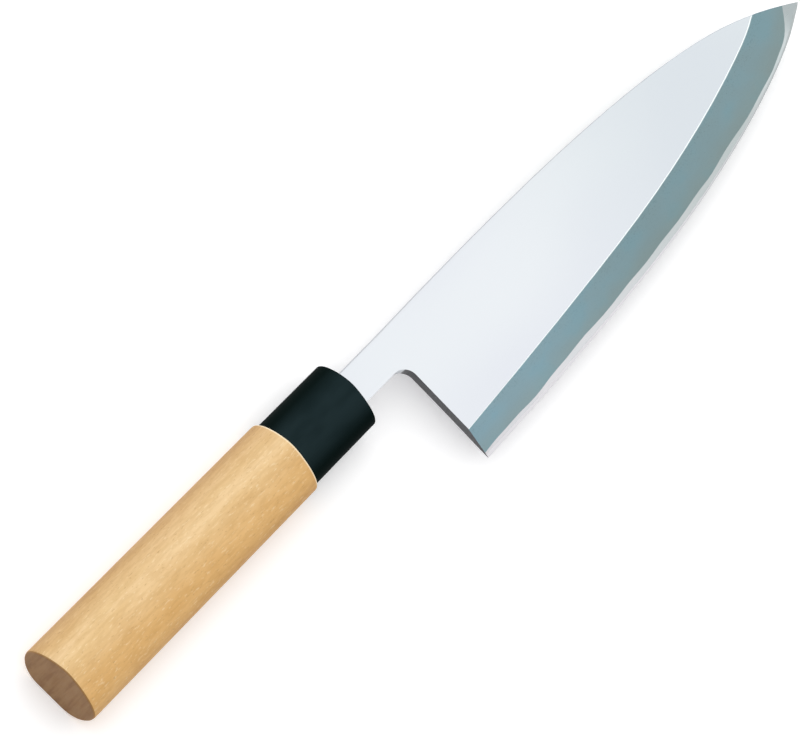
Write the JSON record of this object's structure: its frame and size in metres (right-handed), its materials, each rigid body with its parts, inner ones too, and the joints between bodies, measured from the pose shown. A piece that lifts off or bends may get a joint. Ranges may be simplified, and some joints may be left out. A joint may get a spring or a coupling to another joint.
{
  "type": "deba knife",
  "caption": "Single-bevel deba kitchen knife: thick two-layer pointed blade with a wide bevel and hollow back, in a wooden handle of chestnut section with a black ferrule.",
  "frame": {"origin": "middle of the knife's length and depth, on the surface that it lies on with its bevelled face up", "axes": "+X from the handle to the tip, +Y from the edge to the spine, +Z out of the bevelled front of the blade"},
  "size_m": [0.308, 0.0534, 0.0202],
  "materials": {
    "soft_steel": "satin flat, with a matt grey wide bevel",
    "hard_steel": "fine ground, bright",
    "black_resin": "satin black",
    "pale_wood": "sanded, unvarnished",
    "set_resin": "dull"
  },
  "bodies": {
    "root": {"blade_cladding": "soft_steel", "blade_core": "hard_steel", "ferrule": "black_resin", "grip": "pale_wood", "tang_resin": "set_resin"}
  },
  "joints": []
}
